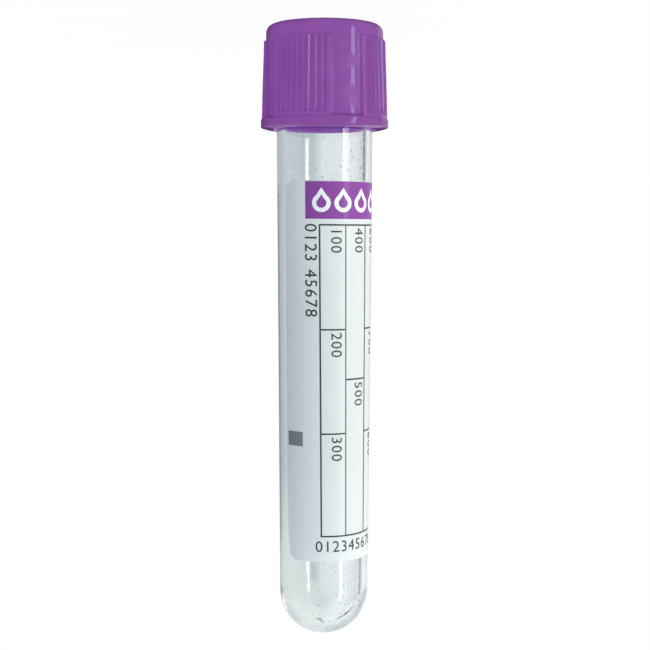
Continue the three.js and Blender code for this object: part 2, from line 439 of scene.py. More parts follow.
def cap_inside():
    """The cap's inside, from the skirt's edge down past the seat of the tube's rim to the mouth."""
    seat_hole = PLUG_RADIUS + SEAT_HOLE_CLEARANCE
    bore = STOPPER_RADIUS + STOPPER_CLEARANCE
    seat = RIM - SEAT_CLEARANCE
    return rounded([
        (SKIRT_RADIUS + SKIRT_CHAMFER, CAP_HIGH, 0),
        (SKIRT_RADIUS, CAP_HIGH - SKIRT_CHAMFER_HEIGHT, 0.15),
        (SKIRT_RADIUS, seat, 0.15),
        (seat_hole, seat, 0.1),
        (seat_hole, seat - SEAT_THICKNESS, 0.1),
        (bore, seat - SEAT_THICKNESS, 0.1),
        (bore, 0, 0.2),
        (bore + MOUTH_EDGE, 0, 0),
    ])


def cap_reach(r, angle, z):
    """Radius of the cap's outside at an angle: its row's own, or that of the pads and grooves.
    Where the flange slopes out, whichever is larger."""
    if PAD_ROOT < z < FLANGE_START:
        raised = cap_side(z) + pad_lift(angle, z)
        r = max(r, raised) if z > SLOPE_START else raised
    return min(r, FLANGE_RADIUS)


def make_cap():
    columns = cap_columns()
    bm = bmesh.new()
    rows = []
    for r, z in cap_outside():
        rows.append([bm.verts.new(around(cap_reach(r, angle, z), angle, z)) for angle in columns])
    for r, z in cap_inside():
        rows.append([bm.verts.new(around(r, angle, z)) for angle in columns])
    for a, b in zip(rows, rows[1:] + rows[:1]):
        join_rows(bm, a, b)
    return finish_mesh("cap_fine", bm, SHARP_SHELL)


# ------------------------------ label

LABEL_RADIUS = tube_radius((LABEL_LOW + LABEL_HIGH) / 2)
LABEL_LENGTH = LABEL_HIGH - LABEL_LOW


def round_mm(degrees):
    """Millimetres around the label's middle for an angle."""
    return math.radians(degrees) * LABEL_RADIUS


def on_label(s, t, lift):
    """A point over the label. s runs from the front around to -X, t runs from the label's edge at
    the cap to the tube's tip, and lift is the height over the tube. The label is stuck on
    slightly askew."""
    skew = math.radians(LABEL_SKEW)
    down = t - LABEL_LENGTH / 2
    along = s * math.cos(skew) - down * math.sin(skew)
    z = LABEL_LOW + LABEL_LENGTH / 2 + down * math.cos(skew) - s * math.sin(skew)
    return around(tube_radius(z) + lift, math.degrees(along / LABEL_RADIUS), z)


def patch(bm, left, right, top, bottom, low=INK_UNDER, high=INK_OVER, corner=0.0, slope=0.0):
    """A closed sheet wrapped on the tube: a rectangle on the label, with round corners and edges
    that slope inwards from its under face to its over face. Unless told otherwise, it is ink."""
    rows = [top, bottom]
    if corner:
        turns = [math.radians(90 * k / SHEET_CORNER_STEPS) for k in range(SHEET_CORNER_STEPS + 1)]
        bends = [corner * (1 - math.cos(turn)) for turn in turns]
        rows = [top + b for b in bends] + [bottom - b for b in reversed(bends)]
    count = max(1, round((right - left) / SHEET_STEP))
    middle_s, middle_t = (left + right) / 2, (top + bottom) / 2
    under, over = [], []
    for t in rows:
        near = corner - min(t - top, bottom - t, corner)
        cut = corner - math.sqrt(corner**2 - near**2)
        width = right - left - 2 * cut
        line = [left + cut + width * k / count for k in range(count + 1)]
        under.append([bm.verts.new(on_label(s, t, low)) for s in line])
        inner_t = middle_t + (t - middle_t) * (1 - 2 * slope / (bottom - top))
        inner = [middle_s + (s - middle_s) * (1 - 2 * slope / (right - left)) for s in line]
        over.append([bm.verts.new(on_label(s, inner_t, high)) for s in inner])
    for j in range(len(rows) - 1):
        for i in range(count):
            bm.faces.new((over[j][i], over[j][i + 1], over[j + 1][i + 1], over[j + 1][i]))
            bm.faces.new((under[j][i], under[j + 1][i], under[j + 1][i + 1], under[j][i + 1]))
        for k in (0, count):
            bm.faces.new((under[j][k], over[j][k], over[j + 1][k], under[j + 1][k]))
    for j in (0, len(rows) - 1):
        for i in range(count):
            bm.faces.new((under[j][i], over[j][i], over[j][i + 1], under[j][i + 1]))


def make_label():
    bm = bmesh.new()
    left, right = round_mm(LABEL_LEFT), round_mm(LABEL_RIGHT)
    patch(bm, left, right, 0, LABEL_LENGTH, PAPER_UNDER, PAPER_OVER, LABEL_CORNER, PAPER_SLOPE)
    return finish_mesh("label_paper", bm)


# The print: a purple band with a row of drops, a ruled form with numbers, and a grey mark. Places
# are those of on_label's s and t.
BAND_LEFT = round_mm(-21.5)
BAND_RIGHT = round_mm(238)
BAND_TOP = 0.08
BAND_BOTTOM = 4.89
DROP_START = -0.22
DROP_PITCH = 2.8
DROP_TOP = 0.88
DROP_HEIGHT = 3.15
DROP_WIDTH = 2.35
DROP_STROKE = 0.55
DROP_TIP_GROWTH = 1.6
DROP_ROUND_STEPS = 32
DROP_SIDE_STEPS = 7
FORM_LEFT = -0.46
FORM_COLUMN = 3.385
FORM_COLUMNS = 6
FORM_TOP = 5.66
FORM_BOTTOM = 46.48
FORM_LINE = 0.2
FORM_THIN_LINE = 0.14
FORM_CROSS = ((19.2, 32.87), (25.76,), (19.2, 32.87), (25.76,), (32.87,), ())
CAPTION_HEIGHT = 1.4
CAPTION_GAP = 0.35
CAPTION_SPACING = 1.12
SIDE_NUMBER_HEIGHT = 1.56
SIDE_NUMBER_FOOT = -2.37
SIDE_NUMBER_START = FORM_TOP - 0.18
SIDE_NUMBER_SPACING = 1.13
FOOT_NUMBER_HEIGHT = 1.45
FOOT_NUMBER_LEFT = -1.3
FOOT_NUMBER_BASE = 48.56
FOOT_NUMBER_SPACING = 1.1
DIGIT_SHARE = 0.69
DIGIT_STEP = 0.3
DIGIT_HALF_DEPTH = 0.5
MARK_LEFT = round_mm(LABEL_LEFT + 0.2)
MARK_WIDTH = 2.41
MARK_TOP = 32.73
MARK_BOTTOM = 34.63


def make_band():
    bm = bmesh.new()
    patch(bm, BAND_LEFT, BAND_RIGHT, BAND_TOP, BAND_BOTTOM)
    return finish_mesh("label_band", bm)


def drop_outline(grow):
    """A drop with its point towards the cap, around its own middle, grown by a margin."""
    radius = DROP_WIDTH / 2 + grow
    centre = DROP_HEIGHT / 2 - DROP_WIDTH / 2
    tip = -DROP_HEIGHT / 2 - grow * DROP_TIP_GROWTH
    reach = centre - tip
    lean = math.degrees(math.asin(radius / reach))
    start = 180 - lean
    points = []
    for k in range(DROP_ROUND_STEPS + 1):
        a = math.radians(-start + 2 * start * k / DROP_ROUND_STEPS + 90)
        points.append((radius * math.cos(a), centre + radius * math.sin(a)))
    (first_x, first_y), (last_x, last_y) = points[0], points[-1]
    n = DROP_SIDE_STEPS
    left = [(first_x * k / n, tip + (first_y - tip) * k / n) for k in range(n)]
    right = [(last_x * (n - k) / n, tip + (last_y - tip) * (n - k) / n) for k in range(1, n)]
    return left + points + right


def make_drops():
    """A row of drops drawn as rings, each a closed band between two outlines and two heights."""
    bm = bmesh.new()
    outer, inner = drop_outline(0), drop_outline(-DROP_STROKE)
    low, high = PAPER_OVER, PAPER_OVER + 2 * INK
    middle = DROP_TOP + DROP_HEIGHT / 2
    count = int((BAND_RIGHT - DROP_START - DROP_WIDTH) / DROP_PITCH) + 1
    for n in range(count):
        at = DROP_START + n * DROP_PITCH
        loops = []
        for outline, lift in ((outer, low), (outer, high), (inner, high), (inner, low)):
            loops.append([bm.verts.new(on_label(at + x, middle + y, lift)) for x, y in outline])
        for a, b in zip(loops, loops[1:] + loops[:1]):
            join_rows(bm, a, b)
    return finish_mesh("label_drops", bm)


def make_lines():
    """The form's ruled lines: its ends, the lines along its columns, and the cross lines."""
    bm = bmesh.new()
    half = FORM_LINE / 2
    right = FORM_LEFT + FORM_COLUMNS * FORM_COLUMN
    for t in (FORM_TOP, FORM_BOTTOM):
        patch(bm, FORM_LEFT - half, right + half, t - half, t + half)
    for column in range(FORM_COLUMNS + 1):
        s = FORM_LEFT + column * FORM_COLUMN
        aside = FORM_THIN_LINE / 2 if column == 1 else half
        patch(bm, s - aside, s + aside, FORM_TOP + half, FORM_BOTTOM - half)
    for column, cross in enumerate(FORM_CROSS):
        s = FORM_LEFT + column * FORM_COLUMN
        for t in cross:
            patch(bm, s + half, s + FORM_COLUMN - half, t - half, t + half)
    return finish_mesh("label_form", bm)


def make_mark():
    bm = bmesh.new()
    patch(bm, MARK_LEFT, MARK_LEFT + MARK_WIDTH, MARK_TOP, MARK_BOTTOM)
    return finish_mesh("label_mark", bm)


def add_number(bm, text, height, spacing, s, t, turned_over=False):
    """Digits on the label. Upright ones start at s on the baseline t. Turned ones read towards the
    tip: they start at t, with their feet at s."""
    data = bpy.data.curves.new("digits", "FONT")
    data.body = text
    data.size = height / DIGIT_SHARE
    data.extrude = DIGIT_HALF_DEPTH
    data.resolution_u = 3
    data.space_character = spacing
    shape = bpy.data.objects.new("digits", data)
    bpy.context.scene.collection.objects.link(shape)
    bpy.context.view_layer.update()
    found = shape.evaluated_get(bpy.context.evaluated_depsgraph_get())
    flat = bpy.data.meshes.new_from_object(found)
    bpy.data.objects.remove(shape)
    bpy.data.curves.remove(data)
    ink = bmesh.new()
    ink.from_mesh(flat)
    bpy.data.meshes.remove(flat)
    bmesh.ops.remove_doubles(ink, verts=ink.verts, dist=1e-5)
    # The digits are cut at steps around the tube, so that they bend with it
    axis = 1 if turned_over else 0
    reach = max(v.co[axis] for v in ink.verts)
    across = Vector((0, 1, 0)) if turned_over else Vector((1, 0, 0))
    for k in range(1, int(reach / DIGIT_STEP) + 1):
        geometry = ink.verts[:] + ink.edges[:] + ink.faces[:]
        plane = across * DIGIT_STEP * k
        bmesh.ops.bisect_plane(ink, geom=geometry, plane_co=plane, plane_no=across)
    copies = {}
    for v in ink.verts:
        lift = PAPER_OVER + INK * (v.co.z / DIGIT_HALF_DEPTH)
        place = (s + v.co.y, t + v.co.x) if turned_over else (s + v.co.x, t - v.co.y)
        copies[v] = bm.verts.new(on_label(*place, lift))
    for face in ink.faces:
        bm.faces.new([copies[v] for v in face.verts])
    ink.free()


def make_numbers():
    """Plain counting digits: along the label's side, at its foot, and a number in each field."""
    bm = bmesh.new()
    add_number(
        bm, "0123 45678", SIDE_NUMBER_HEIGHT, SIDE_NUMBER_SPACING,
        SIDE_NUMBER_FOOT, SIDE_NUMBER_START, turned_over=True,
    )
    add_number(
        bm, "0123456789 0123456789", FOOT_NUMBER_HEIGHT, FOOT_NUMBER_SPACING,
        FOOT_NUMBER_LEFT, FOOT_NUMBER_BASE,
    )
    fields = [(column, t) for column, cross in enumerate(FORM_CROSS) for t in (FORM_TOP, *cross)]
    for n, (column, t) in enumerate(fields, start=1):
        foot = FORM_LEFT + (column + 1) * FORM_COLUMN - FORM_LINE - CAPTION_GAP - CAPTION_HEIGHT
        add_number(
            bm, str(100 * n), CAPTION_HEIGHT, CAPTION_SPACING, foot, t + CAPTION_GAP, turned_over=True
        )
    return finish_mesh("label_numbers", bm)


# ------------------------------ dried additive

# Places along the bore's wall, in millimetres from the middle of its round bottom: where the round
# part ends, the label's edge at the cap, and the cap's own edge
BORE_QUARTER = BORE_END * math.pi / 2
SPECKS_LABEL = BORE_QUARTER + BORE_END_CENTRE - LABEL_LOW
SPECKS_MOUTH = BORE_QUARTER + BORE_END_CENTRE - CAP_HIGH
# Scattered specks: their angle and its spread, three stretches of the wall that get as many each,
# and how much larger than the least one they can be
SCATTER_ANGLE = (62, 48)
SCATTER_PLACES = ((SPECKS_LABEL, SPECKS_MOUTH), (12, SPECKS_LABEL), (1, 14))
SCATTER_SIZE = 0.04
SCATTER_POWER = 1.5
# The streak: its edge's angle, its stretches and their weights, the spreads from that edge and the
# largest size at the mouth, the same below it, and how tall a speck is for its size
STREAK_ANGLE = 64.5
STREAK_PLACES = ((SPECKS_LABEL - 0.5, SPECKS_MOUTH), (6, 12.5), (6, SPECKS_LABEL))
STREAK_WEIGHTS = (9, 3, 6)
STREAK_MOUTH_SPREADS = (1.0, 5.0)
STREAK_MOUTH_SIZE = 0.075
STREAK_SPREAD = 2.2
STREAK_SIZE = 0.06
STREAK_TALL = 1.3
# Specks in the round bottom, by group: how many, their turn from -X towards the tip and its
# spread, and their lean away from the camera's direction and its spread, in degrees
BOTTOM_SPECKS = (
    (26, 96, 5, 57.5, 3),
    (44, 54, 5, 63, 1.5),
    (26, 78, 9, 63, 1.3),
    (24, 30, 12, 62, 2),
)
# Their largest size, and how tall they are for it
BOTTOM_SIZE = 0.08
BOTTOM_TALL = 0.8
# How far below the horizontal the camera stands, as seen from the round bottom, in degrees
CAMERA_BELOW = 16


def on_bore(angle, w, lift):
    """A point over the tube's inner wall. w runs in millimetres from the middle of the bore's
    round bottom along the wall, and lift is the height towards the axis."""
    if w < BORE_QUARTER:
        polar = w / BORE_END
        radius = BORE_END - lift
        return around(radius * math.sin(polar), angle, BORE_END_CENTRE + radius * math.cos(polar))
    z = BORE_END_CENTRE - (w - BORE_QUARTER)
    return around(tube_radius(z) - TUBE_WALL - lift, angle, z)


def in_round_bottom(turn, lean):
    """Angle and place along the bore's wall of a direction from the middle of its round bottom, by
    its turn from -X towards the tip and its lean away from the camera's direction."""
    below = math.radians(CAMERA_BELOW)
    to_camera = Vector((0, -math.cos(below), -math.sin(below)))
    side = Vector((-1, 0, 0))
    to_tip = side.cross(to_camera)
    turn, lean = math.radians(turn), math.radians(lean)
    out = to_camera * math.cos(lean)
    out += (side * math.cos(turn) + to_tip * math.sin(turn)) * math.sin(lean)
    polar = math.acos(max(-1.0, min(1.0, out.z)))
    return math.degrees(math.atan2(-out.x, -out.y)), polar * BORE_END


def add_speck(bm, rng, angle, w, size, tall=0.5):
    """One dried spot: an uneven cone whose foot lies just inside the wall."""
    turn = rng.uniform(0, 6.28)
    foot = []
    for k in range(SPECK_SIDES):
        a = turn + 2 * math.pi * k / SPECK_SIDES
        r = size * rng.uniform(*SPECK_UNEVEN)
        x, y = r * math.cos(a), r * math.sin(a)
        corner = on_bore(angle + math.degrees(x / BORE_END), max(0.02, w + y), SPECK_FOOT)
        foot.append(bm.verts.new(corner))
    top = bm.verts.new(on_bore(angle, w, size * tall))
    under = bm.verts.new(on_bore(angle, w, SPECK_UNDER))
    for k in range(SPECK_SIDES):
        n = (k + 1) % SPECK_SIDES
        bm.faces.new((foot[k], foot[n], top))
        bm.faces.new((foot[n], foot[k], under))


def add_scattered_specks(bm, rng):
    """Specks all over the wall, denser on the side turned to -X and near the mouth."""
    for _ in range(SCATTERED):
        angle = rng.gauss(*SCATTER_ANGLE)
        w = rng.choice([rng.uniform(*place) for place in SCATTER_PLACES])
        size = SPECK_LEAST + SCATTER_SIZE * rng.random() ** SCATTER_POWER
        add_speck(bm, rng, angle, w, size)


def add_streak(bm, rng):
    """Fine tall specks in a streak down the side turned to -X, wider and coarser at the mouth."""
    for _ in range(STREAK):
        places = [rng.uniform(*place) for place in STREAK_PLACES]
        w = rng.choices(places, STREAK_WEIGHTS)[0]
        if w > STREAK_PLACES[0][0]:
            aside, size = rng.choice(STREAK_MOUTH_SPREADS), STREAK_MOUTH_SIZE
        else:
            aside, size = STREAK_SPREAD, STREAK_SIZE
        angle = STREAK_ANGLE - abs(rng.gauss(0, aside))
        add_speck(bm, rng, angle, w, rng.uniform(SPECK_LEAST, size), STREAK_TALL)


def add_bottom_specks(bm, rng):
    """Specks where the streak meets the round bottom and follows it."""
    for count, turn, turn_spread, lean, lean_spread in BOTTOM_SPECKS:
        for _ in range(count):
            this_lean = rng.gauss(lean, lean_spread)
            angle, w = in_round_bottom(rng.gauss(turn, turn_spread), this_lean)
            add_speck(bm, rng, angle, w, rng.uniform(SPECK_LEAST, BOTTOM_SIZE), BOTTOM_TALL)


def make_specks():
    """Spots of dried additive on the tube's inner wall."""
    rng = random.Random(SPECK_SEED)
    bm = bmesh.new()
    add_scattered_specks(bm, rng)
    add_streak(bm, rng)
    add_bottom_specks(bm, rng)
    return finish_mesh("dried_additive", bm, SHARP_SPECK)


# ------------------------------ shader helpers


def put(tree, value, socket):
    """Links another node's output to an input, or sets the input to a plain value."""
    if isinstance(value, bpy.types.NodeSocket):
        tree.links.new(value, socket)
    elif socket.type == "RGBA":
        socket.default_value = (*value, 1)
    else:
        socket.default_value = value


def node(tree, kind, **settings):
    """A new node with its settings."""
    made = tree.nodes.new(kind)
    for key, value in settings.items():
        setattr(made, key, value)
    return made


def maths(tree, operation, *values, vector=False, output="Value"):
    """The result of a math node on plain values and other nodes' outputs."""
    kind = "ShaderNodeVectorMath" if vector else "ShaderNodeMath"
    made = node(tree, kind, operation=operation)
    for value, socket in zip(values, made.inputs):
        put(tree, value, socket)
    return made.outputs[output]


def scaled(tree, value, low, high, at_low=0.0, at_high=1.0):
    """Turns low to high into at_low to at_high, and goes no further at either end."""
    made = node(tree, "ShaderNodeMapRange")
    given = {"Value": value, "From Min": low, "From Max": high, "To Min": at_low, "To Max": at_high}
    for name, this in given.items():
        put(tree, this, made.inputs[name])
    return made.outputs["Result"]


NOISE_RANGE = (0.3, 0.7)


def spread(tree, noise, at_low=0.0, at_high=1.0):
    """Turns the range in which nearly all of a noise lies into at_low to at_high."""
    return scaled(tree, noise, *NOISE_RANGE, at_low, at_high)


def mixed(tree, share, first, second):
    """A colour between two, each of them plain or another node's output."""
    mix = node(tree, "ShaderNodeMix", data_type="RGBA")
    for name, value in (("Factor", share), ("A", first), ("B", second)):
        put(tree, value, mix.inputs[name])
    return mix.outputs["Result"]


def mixed_shaders(tree, share, first, second):
    """A shader between two nodes' own."""
    mix = node(tree, "ShaderNodeMixShader")
    for socket, value in zip(mix.inputs, (share, first.outputs[0], second.outputs[0])):
        put(tree, value, socket)
    return mix


def position(tree, space="Object"):
    """A coordinate of what is shaded, whole and as X, Y and Z."""
    where = node(tree, "ShaderNodeTexCoord").outputs[space]
    parts = node(tree, "ShaderNodeSeparateXYZ")
    put(tree, where, parts.inputs["Vector"])
    return where, *parts.outputs


def noise_value(tree, scale, detail=3.0, stretch=(1, 1, 1)):
    """A noise of the object's own coordinates, in features per metre."""
    mapping = node(tree, "ShaderNodeMapping")
    put(tree, node(tree, "ShaderNodeTexCoord").outputs["Object"], mapping.inputs["Vector"])
    put(tree, stretch, mapping.inputs["Scale"])
    noise = node(tree, "ShaderNodeTexNoise")
    put(tree, mapping.outputs["Vector"], noise.inputs["Vector"])
    put(tree, scale, noise.inputs["Scale"])
    put(tree, detail, noise.inputs["Detail"])
    return noise.outputs["Fac"]


def bump(tree, height, depth, strength=1.0, normal=None):
    """The normal of a surface with this relief, laid over another's. Depth is in millimetres."""
    made = node(tree, "ShaderNodeBump")
    put(tree, height, made.inputs["Height"])
    put(tree, depth * MM, made.inputs["Distance"])
    put(tree, strength, made.inputs["Strength"])
    if normal:
        put(tree, normal, made.inputs["Normal"])
    return made.outputs["Normal"]


def new_material(name, **values):
    """A material, with values for its shader's inputs by their names, spaces written as _."""
    material = bpy.data.materials.new(name)
    material.use_nodes = True
    tree = material.node_tree
    shader = tree.nodes["Principled BSDF"]
    for key, value in values.items():
        put(tree, value, shader.inputs[key.replace("_", " ")])
    return material, tree, shader


def show(tree, shader, output="Material Output"):
    """Makes a node's shader the one that the material or the world shows."""
    put(tree, shader.outputs[0], tree.nodes[output].inputs["Surface"])


def let_through(material, colour, share):
    """Makes a surface let part of the light through to its other side."""
    tree = material.node_tree
    through = node(tree, "ShaderNodeBsdfTranslucent")
    put(tree, colour, through.inputs["Color"])
    show(tree, mixed_shaders(tree, share, tree.nodes["Principled BSDF"], through))


def grained(name, colours, scale, detail, rough, relief=None, stretch=(1, 1, 1), **values):
    """A material whose tint, gloss and relief follow one fine grain. Relief is a depth in
    millimetres and a strength."""
    material, tree, shader = new_material(name, **values)
    grain = noise_value(tree, scale, detail, stretch)
    put(tree, mixed(tree, spread(tree, grain), *colours), shader.inputs["Base Color"])
    put(tree, spread(tree, grain, *rough), shader.inputs["Roughness"])
    if relief:
        put(tree, bump(tree, grain, *relief), shader.inputs["Normal"])
    return material


# ------------------------------ materials

# Each pair is a darker and a lighter tone that a noise mixes
CAP_PURPLE = ((0.308, 0.092, 0.396), (0.341, 0.104, 0.434))
CAP_GLOW = (0.7, 0.12, 0.85)
# Painted shade: a darker purple for the flange, though it is the same plastic as the rest of the cap
CAP_FLANGE_PAINTED_SHADE = (0.29, 0.088, 0.36)
# Painted light: a brighter, stronger purple inside the cap, where it lies in shade
CAP_INSIDE_PAINTED_LIGHT = (0.445, 0.062, 0.71)
RING_PURPLE = ((0.18, 0.06, 0.28), (0.22, 0.08, 0.32))
RUBBER_GREY = ((0.20, 0.19, 0.215), (0.27, 0.26, 0.29))
PAPER_WHITE = ((0.915, 0.945, 0.945), (0.945, 0.97, 0.97))
PAPER_GLOW = (0.95, 0.965, 0.975)
INK_PURPLE = ((0.25, 0.052, 0.335), (0.28, 0.062, 0.37))
INK_WHITE = ((0.83, 0.86, 0.88), (0.89, 0.91, 0.925))
INK_DARK = ((0.035, 0.042, 0.042), (0.06, 0.068, 0.066))
INK_LINE = ((0.032, 0.037, 0.037), (0.058, 0.063, 0.06))
INK_GREY = ((0.196, 0.21, 0.226), (0.232, 0.245, 0.262))
ADDITIVE = ((0.02, 0.022, 0.024), (0.07, 0.075, 0.08))
CLEAR = (0.97, 0.985, 0.985)
CLEAR_TO_LAMPS = (0.93, 0.96, 0.955)

# Worn patches on the cap: angle, height and size in millimetres. Then how uneven their edges are,
# and the roughness and the grain's strength outside and inside them.
CAP_WEAR = ((28, 5.6, 1.0), (27, 9.4, 1.1), (28, 10.8, 1.1), (120, 8.0, 3.0), (205, 4.0, 2.5))
WEAR_UNEVEN = 0.8
WEAR_ROUGH = (0.03, 0.2)
WEAR_GRAIN = (0.02, 1)
# Shares of the light that go through the cap and the paper, and the scale of the clouds of tint
CAP_SHARE_THROUGH = 0.25
PAPER_SHARE_THROUGH = 0.25
CLOUDS = 260


def worn_patches(tree, place, swell):
    """1 inside the cap's worn patches, 0 outside, with uneven edges."""
    uneven = spread(tree, swell, -WEAR_UNEVEN * MM, WEAR_UNEVEN * MM)
    worn = None
    for angle, z, size in CAP_WEAR:
        apart = maths(tree, "DISTANCE", place, around(CROWN_RADIUS, angle, z), vector=True)
        moved = maths(tree, "ADD", apart, uneven)
        inside = scaled(tree, moved, 1.3 * size * MM, 0.5 * size * MM)
        worn = maths(tree, "MAXIMUM", worn, inside) if worn else inside
    return worn


def cap_tint(tree, place, z):
    """Purple with faint clouds in it, a darker purple on the flange that is painted shade, and a
    brighter, stronger purple inside the cap that is painted light.
    """
    level = maths(tree, "MULTIPLY", place, (1, 1, 0), vector=True, output="Vector")
    reach = maths(tree, "LENGTH", level, vector=True)
    inside = scaled(tree, reach, (SKIRT_RADIUS + 0.3) * MM, (SKIRT_RADIUS + 0.1) * MM)
    flange = scaled(tree, z, (FLANGE_START - 0.2) * MM, (FLANGE_START + 0.2) * MM)
    tint = mixed(tree, spread(tree, noise_value(tree, CLOUDS, detail=4)), *CAP_PURPLE)
    # Painted shade on the flange and painted light on the cap's inside
    return mixed(tree, inside, mixed(tree, flange, tint, CAP_FLANGE_PAINTED_SHADE), CAP_INSIDE_PAINTED_LIGHT)


def cap_plastic():
    """Purple plastic that lets a little light through, with worn patches in its gloss."""
    material, tree, shader = new_material("cap_plastic", IOR=1.54, Specular_Tint=(0.6, 1, 1))
    place, _, _, z = position(tree)
    swell = noise_value(tree, scale=330, detail=1.5)
    grain = noise_value(tree, scale=3600)
    worn = worn_patches(tree, place, swell)
    wave = bump(tree, swell, depth=0.02)
    strength = scaled(tree, worn, 0, 1, *WEAR_GRAIN)
    fine = bump(tree, grain, depth=0.06, strength=strength, normal=wave)
    put(tree, cap_tint(tree, place, z), shader.inputs["Base Color"])
    put(tree, scaled(tree, worn, 0, 1, *WEAR_ROUGH), shader.inputs["Roughness"])
    put(tree, fine, shader.inputs["Normal"])
    let_through(material, CAP_GLOW, CAP_SHARE_THROUGH)
    return material


def ring_plastic():
    material, tree, shader = new_material("ring_plastic", IOR=1.49)
    cloud = noise_value(tree, CLOUDS, detail=4)
    grain = noise_value(tree, scale=4200)
    put(tree, mixed(tree, spread(tree, cloud), *RING_PURPLE), shader.inputs["Base Color"])
    put(tree, spread(tree, grain, 0.06, 0.12), shader.inputs["Roughness"])
    put(tree, bump(tree, grain, depth=0.02, strength=0.1), shader.inputs["Normal"])
    return material


def rubber():
    return grained(
        "grey_rubber", RUBBER_GREY, scale=3800, detail=5, rough=(0.62, 0.8), relief=(0.03, 0.3),
        IOR=1.5,
    )


def clear_plastic():
    """Clear moulded plastic. Lamps reach through it, so that what it holds is lit."""
    material, tree, shader = new_material(
        "clear_plastic", IOR=1.57, Transmission_Weight=1.0, Base_Color=CLEAR
    )
    _, _, _, z = position(tree)
    flow = noise_value(tree, scale=900, detail=2, stretch=(1, 1, 0.12))
    to_tip = scaled(tree, z, (ROUND_END - 1) * MM, (TIP - 2) * MM)
    mottle = bump(tree, noise_value(tree, scale=2200, detail=2), depth=0.025, strength=to_tip)
    put(tree, spread(tree, flow, 0.015, 0.035), shader.inputs["Roughness"])
    put(tree, bump(tree, flow, depth=0.02, strength=0.05, normal=mottle), shader.inputs["Normal"])
    clear = node(tree, "ShaderNodeBsdfTransparent")
    put(tree, CLEAR_TO_LAMPS, clear.inputs["Color"])
    ray = node(tree, "ShaderNodeLightPath").outputs
    show(tree, mixed_shaders(tree, ray["Is Shadow Ray"], shader, clear))
    return material


def printed(name, colours, **values):
    """Ink or paper with the label's gloss."""
    return grained(
        name, colours, scale=2600, detail=5, rough=(0.42, 0.55), relief=(0.01, 0.15),
        stretch=(1, 1, 0.6), IOR=1.5, Coat_Weight=0.4, Coat_Roughness=0.07, **values,
    )


def label_paper():
    """Paper that lets some of its light through to its inside."""
    material = printed("label_paper", PAPER_WHITE)
    let_through(material, PAPER_GLOW, PAPER_SHARE_THROUGH)
    return material


def dried_additive():
    return grained("dried_additive", ADDITIVE, scale=9000, detail=3, rough=(0.5, 0.8), IOR=1.45)


def dress(piece, material, body, replaced=None):
    """Gives a piece its material and the body that it rides on, and hides the CAD node that it stands
    in for, if any.
    """
    piece.data.materials.append(material)
    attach(piece, body)
    if replaced:
        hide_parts(replaced)
    return piece


cap = dress(make_cap(), cap_plastic(), "cap", "cap_shell")
dress(make_ring(), ring_plastic(), "cap", "retaining_ring")
dress(make_stopper(), rubber(), "stopper", "rubber_stopper")
band_ink = printed("band_ink", INK_PURPLE, Specular_IOR_Level=0.3)
on_tube = [
    dress(make_tube(), clear_plastic(), "tube", "tube"),
    dress(make_label(), label_paper(), "tube", "paper_label"),
    dress(make_band(), band_ink, "tube"),
    dress(make_drops(), printed("drop_ink", INK_WHITE), "tube"),
    dress(make_lines(), printed("line_ink", INK_LINE), "tube"),
    dress(make_mark(), printed("mark_ink", INK_GREY), "tube"),
    dress(make_numbers(), printed("number_ink", INK_DARK), "tube"),
]
dress(make_specks(), dried_additive(), "tube")

# ------------------------------ stage

FLOOR_HALF = 1500
FLOOR_PALE = (0.95, 0.95, 0.95)
# How much of what the camera sees of the floor is plain white. The rest is lit and shaded.
FLOOR_WHITE = 0.94

# X, Y and Z of a direction run from -1 to 1. A pair such as BACKDROP_Z is a stretch of one of
# them, from where something begins to where it is full.

# How bright the room is for surfaces, how bright for what they mirror, and which share of that is
# left where they mirror what stands behind the tube
ROOM_LIGHT = 1.31
GLOSSY_LIGHT = 0.27
GLOSSY_BEHIND = 0.2
MIRROR_FULL_Y = (0.8, 0.2)
# How bright a backdrop behind and over the tube is, where its round end mirrors it at a grazing
# angle
BACKDROP_MIRRORED = 0.8
BACKDROP_Y = (0.2, 0.7)
BACKDROP_Z = (0.255, 0.31)
# The room from -X to +X, as it lights the part, and as it is seen through the clear tube
ROOM_ACROSS = [
    (-1.0, (1.05, 1.06, 1.04)),
    (-0.4, (0.98, 1.02, 1.01)),
    (-0.06, (0.85, 0.91, 0.91)),
    (0.16, (0.47, 0.52, 0.56)),
    (0.4, (0.46, 0.5, 0.55)),
    (1.0, (0.34, 0.37, 0.43)),
]
THROUGH_ACROSS = [
    (-1.0, (0.9, 0.93, 0.95)),
    (-0.87, (0.8, 0.83, 0.85)),
    (-0.8, (0.5, 0.53, 0.55)),
    (-0.74, (0.55, 0.58, 0.6)),
    (-0.6, (0.97, 0.98, 0.99)),
    (-0.46, (0.9, 0.92, 0.94)),
    (-0.36, (0.77, 0.8, 0.83)),
    (-0.2, (0.855, 0.9, 0.915)),
    (-0.12, (0.885, 0.935, 0.96)),
    (0.008, (0.8, 0.86, 0.875)),
    (0.045, (0.54, 0.605, 0.625)),
    (0.16, (0.55, 0.61, 0.64)),
    (0.36, (0.565, 0.615, 0.66)),
    (0.55, (0.54, 0.565, 0.645)),
    (0.8, (0.6, 0.64, 0.69)),
    (1.0, (0.56, 0.59, 0.66)),
]
# One colour is seen through the tube by rays that rise towards +X. Its edge moves towards -X where
# they rise more.
THROUGH_HIGH = (0.73, 0.8, 0.79)
HIGH_X = (0.055, 0.08)
HIGH_Z = (0.2, 0.255)
HIGH_LEAN = 0.1
HIGH_LEAN_Z = (0.31, 0.37)
# How bright all of that is towards the front, and how much brighter steep rays are
THROUGH_FRONT = 0.75
THROUGH_BEHIND_Y = (-0.3, 0.1)
THROUGH_STEEP = 0.13
THROUGH_STEEP_Z = (0.3, 0.75)


